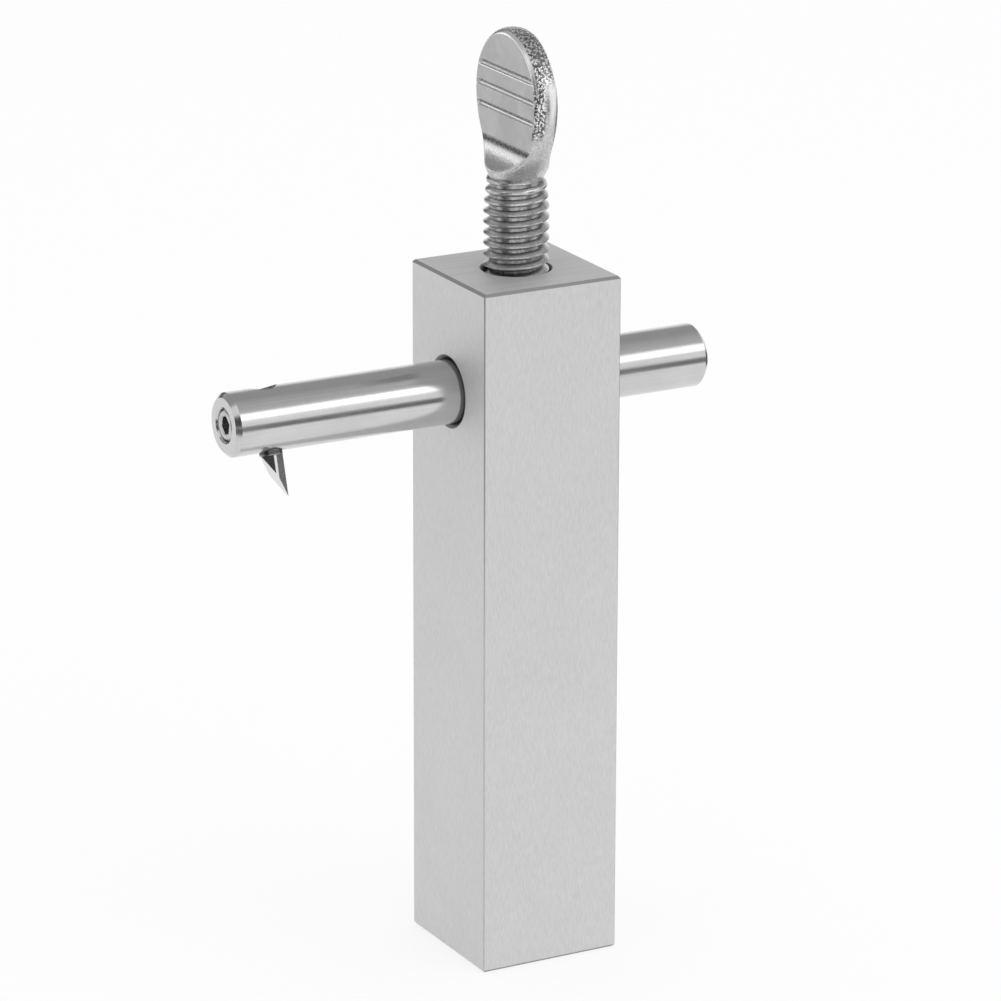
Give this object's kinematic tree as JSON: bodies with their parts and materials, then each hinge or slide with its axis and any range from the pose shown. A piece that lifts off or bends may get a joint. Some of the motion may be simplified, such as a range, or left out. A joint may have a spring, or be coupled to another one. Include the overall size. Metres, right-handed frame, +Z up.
{
  "type": "center scribe",
  "caption": "Square standing bar with a cross rod locked by a spade-headed thumb screw; the rod holds a ground scriber point that a set screw clamps, for marking centre lines.",
  "frame": {"origin": "centre of the bar's lower end face", "axes": "+Z up the bar, +X along the cross rod from its scriber end to its plain end, +Y across the bar"},
  "size_m": [0.0773, 0.0224, 0.1397],
  "materials": {
    "satin_aluminium": "satin, finely brushed along the bar",
    "polished_steel": "polished, with faint turning marks",
    "ground_tool_steel": "ground",
    "socket_screw_steel": "satin",
    "plated_steel": "bright zinc plate over a forged surface"
  },
  "bodies": {
    "bar": {"square_body": "satin_aluminium"},
    "rod": {"cross_rod": "polished_steel"},
    "scriber": {"scriber_point": "ground_tool_steel"},
    "clamp_screw": {"set_screw": "socket_screw_steel"},
    "lock_screw": {"thumb_screw": "plated_steel"}
  },
  "joints": [
    {"name": "rod_slide", "type": "slide", "parent": "bar", "child": "rod", "axis": [1, 0, 0], "range_m": [-0.019, 0.027]},
    {"name": "lock_screw_turn", "type": "hinge", "parent": "bar", "child": "lock_screw", "pos_m": [0, 0, 0.1042], "axis": [0, 0, 1], "range_deg": [0, 270]},
    {"name": "scriber_slide", "type": "slide", "parent": "rod", "child": "scriber", "axis": [0, 0.2924, 0.9563], "range_m": [-0.0025, 0.003]},
    {"name": "clamp_screw_turn", "type": "hinge", "parent": "rod", "child": "clamp_screw", "pos_m": [-0.0446, 0, 0.087], "axis": [-1, 0, 0], "range_deg": [0, 270]}
  ]
}
